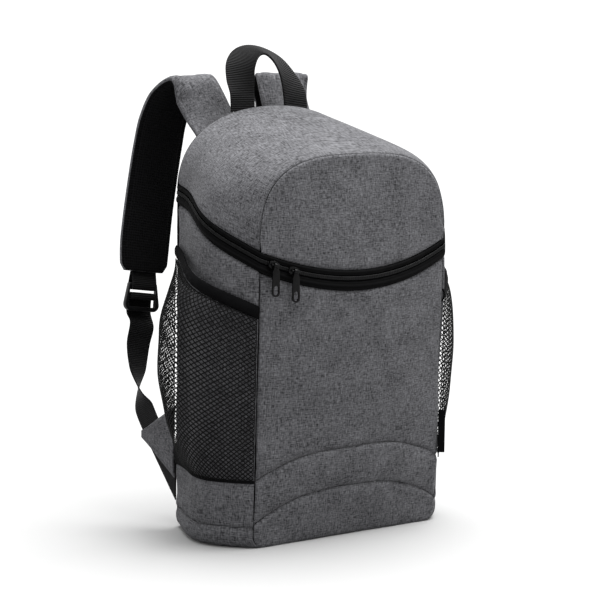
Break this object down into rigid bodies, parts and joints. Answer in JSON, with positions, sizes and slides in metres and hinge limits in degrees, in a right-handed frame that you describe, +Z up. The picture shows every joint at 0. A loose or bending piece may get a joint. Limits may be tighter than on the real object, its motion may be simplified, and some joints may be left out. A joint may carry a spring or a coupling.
{
  "type": "cooler backpack",
  "caption": "Upright insulated backpack with a zipped arched lid, net side pockets, webbing handle and padded shoulder straps",
  "frame": {"origin": "middle of the flat base, on the ground", "axes": "+Z up, the front of the bag faces -Y, the shoulder straps are at +Y, +X is to the right seen from the front"},
  "size_m": [0.347, 0.2428, 0.479],
  "materials": {
    "heather_fabric": "grey heather polyester, woven in two tones, padded",
    "black_fabric": "plain black polyester",
    "net": "black knitted diamond net",
    "webbing": "black ribbed polypropylene webbing",
    "zip_tape": "black herringbone zip tape",
    "zip_coil": "black nylon coil",
    "black_plastic": "black moulded acetal",
    "zip_metal": "black enamelled zinc"
  },
  "bodies": {
    "bag": {"front_panel_lower": "heather_fabric", "front_panel_middle": "heather_fabric", "front_panel_upper": "heather_fabric", "side_base_left": "heather_fabric", "side_base_right": "heather_fabric", "side_panel_left": "heather_fabric", "side_panel_right": "heather_fabric", "bottom_panel": "heather_fabric", "back_panel": "black_fabric", "lid_gusset": "heather_fabric", "lid_front_panel": "heather_fabric", "zip_tape_upper": "zip_tape", "zip_tape_lower": "zip_tape", "zip_coil": "zip_coil", "zip_slider_left": "zip_metal", "zip_slider_right": "zip_metal", "net_pocket_left": "net", "net_pocket_right": "net", "pocket_band_left": "black_fabric", "pocket_band_right": "black_fabric", "carry_handle": "webbing", "strap_pad_left": "heather_fabric", "strap_pad_right": "heather_fabric", "strap_stub_left": "webbing", "strap_stub_right": "webbing", "ladder_lock_left": "black_plastic", "ladder_lock_right": "black_plastic", "adjuster_webbing_left": "webbing", "adjuster_webbing_right": "webbing", "strap_tab_left": "heather_fabric", "strap_tab_right": "heather_fabric", "side_label": "black_fabric"},
    "left_pull": {"zip_pull_left": "zip_metal"},
    "right_pull": {"zip_pull_right": "zip_metal"}
  },
  "joints": [
    {"name": "left_pull_swing", "type": "hinge", "parent": "bag", "child": "left_pull", "pos_m": [-0.10535, -0.07702, 0.27714], "axis": [-0.9291, 0.1767, 0.3248], "range_deg": [0, 165]},
    {"name": "right_pull_swing", "type": "hinge", "parent": "bag", "child": "right_pull", "pos_m": [-0.08407, -0.08079, 0.27066], "axis": [-0.9516, 0.1551, 0.2653], "range_deg": [0, 165]}
  ]
}
